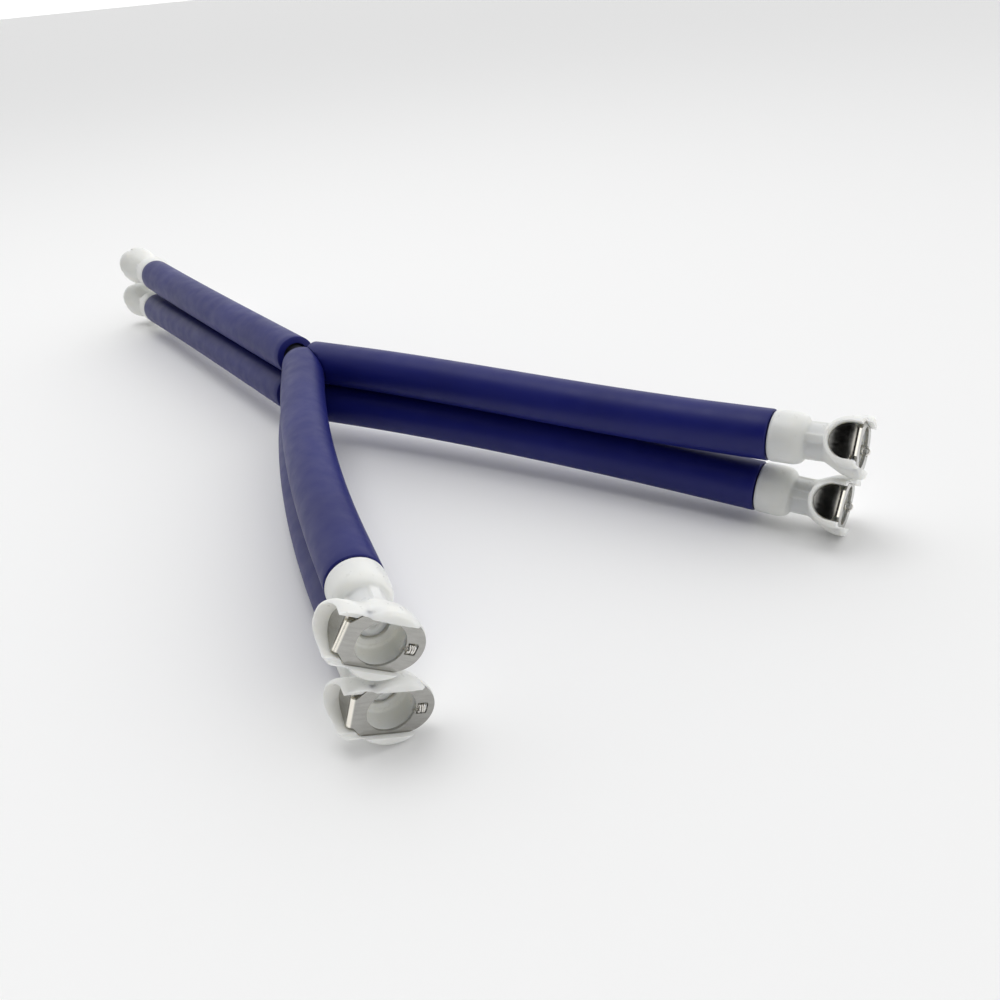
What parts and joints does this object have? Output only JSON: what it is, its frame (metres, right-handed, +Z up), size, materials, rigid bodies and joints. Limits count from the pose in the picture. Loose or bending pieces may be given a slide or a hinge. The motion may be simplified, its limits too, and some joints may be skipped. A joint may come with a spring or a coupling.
{
  "type": "twin wye hose set with thumb latch quick couplings",
  "caption": "Stacked soft hose wyes whose legs end in valved quick couplings with a sprung steel thumb latch.",
  "frame": {"origin": "on the surface it lies on, under the middle of the whole set", "axes": "+Z up; +Y along the stem legs, away from the two branches; +X towards the right branch"},
  "size_m": [0.208, 0.4795, 0.05],
  "materials": {
    "hose": "soft matt navy blue",
    "acetal": "natural white moulded, satin",
    "latch_steel": "stamped stainless, satin",
    "spring_steel": "bright drawn wire",
    "seal": "matt black",
    "wye_nylon": "dark moulded"
  },
  "bodies": {
    "root": {"coupling_body_stem_upper": "acetal", "hose_barb_stem_upper": "acetal", "latch_spring_stem_upper": "spring_steel", "valve_spring_stem_upper": "spring_steel", "hose_stem_upper": "hose", "coupling_body_left_upper": "acetal", "hose_barb_left_upper": "acetal", "latch_spring_left_upper": "spring_steel", "valve_spring_left_upper": "spring_steel", "hose_left_upper": "hose", "coupling_body_right_upper": "acetal", "hose_barb_right_upper": "acetal", "latch_spring_right_upper": "spring_steel", "valve_spring_right_upper": "spring_steel", "hose_right_upper": "hose", "coupling_body_stem_lower": "acetal", "hose_barb_stem_lower": "acetal", "latch_spring_stem_lower": "spring_steel", "valve_spring_stem_lower": "spring_steel", "hose_stem_lower": "hose", "coupling_body_left_lower": "acetal", "hose_barb_left_lower": "acetal", "latch_spring_left_lower": "spring_steel", "valve_spring_left_lower": "spring_steel", "hose_left_lower": "hose", "coupling_body_right_lower": "acetal", "hose_barb_right_lower": "acetal", "latch_spring_right_lower": "spring_steel", "valve_spring_right_lower": "spring_steel", "hose_right_lower": "hose", "y_connector_upper": "wye_nylon", "y_connector_lower": "wye_nylon"},
    "latch_stem_upper": {"thumb_latch_stem_upper": "latch_steel"},
    "poppet_stem_upper": {"valve_poppet_stem_upper": "acetal", "valve_seal_stem_upper": "seal"},
    "latch_left_upper": {"thumb_latch_left_upper": "latch_steel"},
    "poppet_left_upper": {"valve_poppet_left_upper": "acetal", "valve_seal_left_upper": "seal"},
    "latch_right_upper": {"thumb_latch_right_upper": "latch_steel"},
    "poppet_right_upper": {"valve_poppet_right_upper": "acetal", "valve_seal_right_upper": "seal"},
    "latch_stem_lower": {"thumb_latch_stem_lower": "latch_steel"},
    "poppet_stem_lower": {"valve_poppet_stem_lower": "acetal", "valve_seal_stem_lower": "seal"},
    "latch_left_lower": {"thumb_latch_left_lower": "latch_steel"},
    "poppet_left_lower": {"valve_poppet_left_lower": "acetal", "valve_seal_left_lower": "seal"},
    "latch_right_lower": {"thumb_latch_right_lower": "latch_steel"},
    "poppet_right_lower": {"valve_poppet_right_lower": "acetal", "valve_seal_right_lower": "seal"}
  },
  "joints": [
    {"name": "thumb_latch_stem_upper", "type": "slide", "parent": "root", "child": "latch_stem_upper", "axis": [-0.866, -0.01, 0.4999], "range_m": [0, 0.0014], "stiffness_N_per_m": 900, "springref_m": -0.0012, "deforming": ["latch_spring_stem_upper"]},
    {"name": "valve_poppet_stem_upper", "type": "slide", "parent": "root", "child": "poppet_stem_upper", "axis": [0, -0.9998, -0.02], "range_m": [0, 0.004], "stiffness_N_per_m": 300, "springref_m": -0.003, "deforming": ["valve_spring_stem_upper"]},
    {"name": "thumb_latch_left_upper", "type": "slide", "parent": "root", "child": "latch_left_upper", "axis": [0.821, -0.2463, -0.515], "range_m": [0, 0.0014], "stiffness_N_per_m": 900, "springref_m": -0.0012, "deforming": ["latch_spring_left_upper"]},
    {"name": "valve_poppet_left_upper", "type": "slide", "parent": "root", "child": "poppet_left_upper", "axis": [0.2874, 0.9578, 0], "range_m": [0, 0.004], "stiffness_N_per_m": 300, "springref_m": -0.003, "deforming": ["valve_spring_left_upper"]},
    {"name": "thumb_latch_right_upper", "type": "slide", "parent": "root", "child": "latch_right_upper", "axis": [0.7654, 0.2922, -0.5733], "range_m": [0, 0.0014], "stiffness_N_per_m": 900, "springref_m": -0.0012, "deforming": ["latch_spring_right_upper"]},
    {"name": "valve_poppet_right_upper", "type": "slide", "parent": "root", "child": "poppet_right_upper", "axis": [-0.3761, 0.9261, -0.03], "range_m": [0, 0.004], "stiffness_N_per_m": 300, "springref_m": -0.003, "deforming": ["valve_spring_right_upper"]},
    {"name": "thumb_latch_stem_lower", "type": "slide", "parent": "root", "child": "latch_stem_lower", "axis": [-0.829, 0.0141, 0.5591], "range_m": [0, 0.0014], "stiffness_N_per_m": 900, "springref_m": -0.0012, "deforming": ["latch_spring_stem_lower"]},
    {"name": "valve_poppet_stem_lower", "type": "slide", "parent": "root", "child": "poppet_stem_lower", "axis": [-0.0035, -0.9998, 0.02], "range_m": [0, 0.004], "stiffness_N_per_m": 300, "springref_m": -0.003, "deforming": ["valve_spring_stem_lower"]},
    {"name": "thumb_latch_left_lower", "type": "slide", "parent": "root", "child": "latch_left_lower", "axis": [0.9199, -0.2413, -0.309], "range_m": [0, 0.0014], "stiffness_N_per_m": 900, "springref_m": -0.0012, "deforming": ["latch_spring_left_lower"]},
    {"name": "valve_poppet_left_lower", "type": "slide", "parent": "root", "child": "poppet_left_lower", "axis": [0.2538, 0.9673, 0], "range_m": [0, 0.004], "stiffness_N_per_m": 300, "springref_m": -0.003, "deforming": ["valve_spring_left_lower"]},
    {"name": "thumb_latch_right_lower", "type": "slide", "parent": "root", "child": "latch_right_lower", "axis": [0.7838, 0.3242, -0.5297], "range_m": [0, 0.0014], "stiffness_N_per_m": 900, "springref_m": -0.0012, "deforming": ["latch_spring_right_lower"]},
    {"name": "valve_poppet_right_lower", "type": "slide", "parent": "root", "child": "poppet_right_lower", "axis": [-0.3647, 0.9306, 0.03], "range_m": [0, 0.004], "stiffness_N_per_m": 300, "springref_m": -0.003, "deforming": ["valve_spring_right_lower"]}
  ]
}
